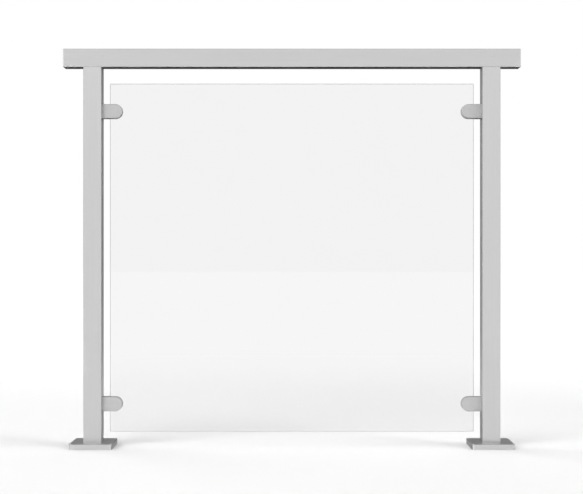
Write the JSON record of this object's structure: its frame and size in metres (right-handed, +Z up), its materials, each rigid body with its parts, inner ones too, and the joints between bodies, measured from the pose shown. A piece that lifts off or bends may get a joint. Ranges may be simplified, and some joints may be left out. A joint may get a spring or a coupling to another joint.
{
  "type": "glass railing",
  "caption": "One bay of a floor-mounted glass railing: square tube posts and handrail in satin stainless steel, with a glass panel held by D-shaped clamps.",
  "frame": {"origin": "centre of the left foot plate's underside, on the floor and on the left post's axis", "axes": "+X along the bay to the right post, +Y from the front to the back, +Z up"},
  "size_m": [1.262, 0.128, 1.1],
  "materials": {
    "satin_steel": "satin, ground along each tube",
    "clamp_steel": "satin casting",
    "glass": "clear toughened glass with ground edges",
    "rubber": "matt"
  },
  "bodies": {
    "root": {"handrail_tube": "satin_steel", "handrail_cap_left": "satin_steel", "handrail_cap_right": "satin_steel", "post_left": "satin_steel", "post_right": "satin_steel", "base_plate_left": "satin_steel", "base_plate_right": "satin_steel", "base_cover_left": "satin_steel", "base_cover_right": "satin_steel", "glass_panel": "glass", "clamp_body_bottom_left": "clamp_steel", "clamp_body_bottom_right": "clamp_steel", "clamp_body_top_left": "clamp_steel", "clamp_body_top_right": "clamp_steel", "clamp_cover_bottom_left": "clamp_steel", "clamp_cover_bottom_right": "clamp_steel", "clamp_cover_top_left": "clamp_steel", "clamp_cover_top_right": "clamp_steel", "clamp_gasket_front_bottom_left": "rubber", "clamp_gasket_front_bottom_right": "rubber", "clamp_gasket_front_top_left": "rubber", "clamp_gasket_front_top_right": "rubber", "clamp_gasket_rear_bottom_left": "rubber", "clamp_gasket_rear_bottom_right": "rubber", "clamp_gasket_rear_top_left": "rubber", "clamp_gasket_rear_top_right": "rubber"}
  },
  "joints": []
}
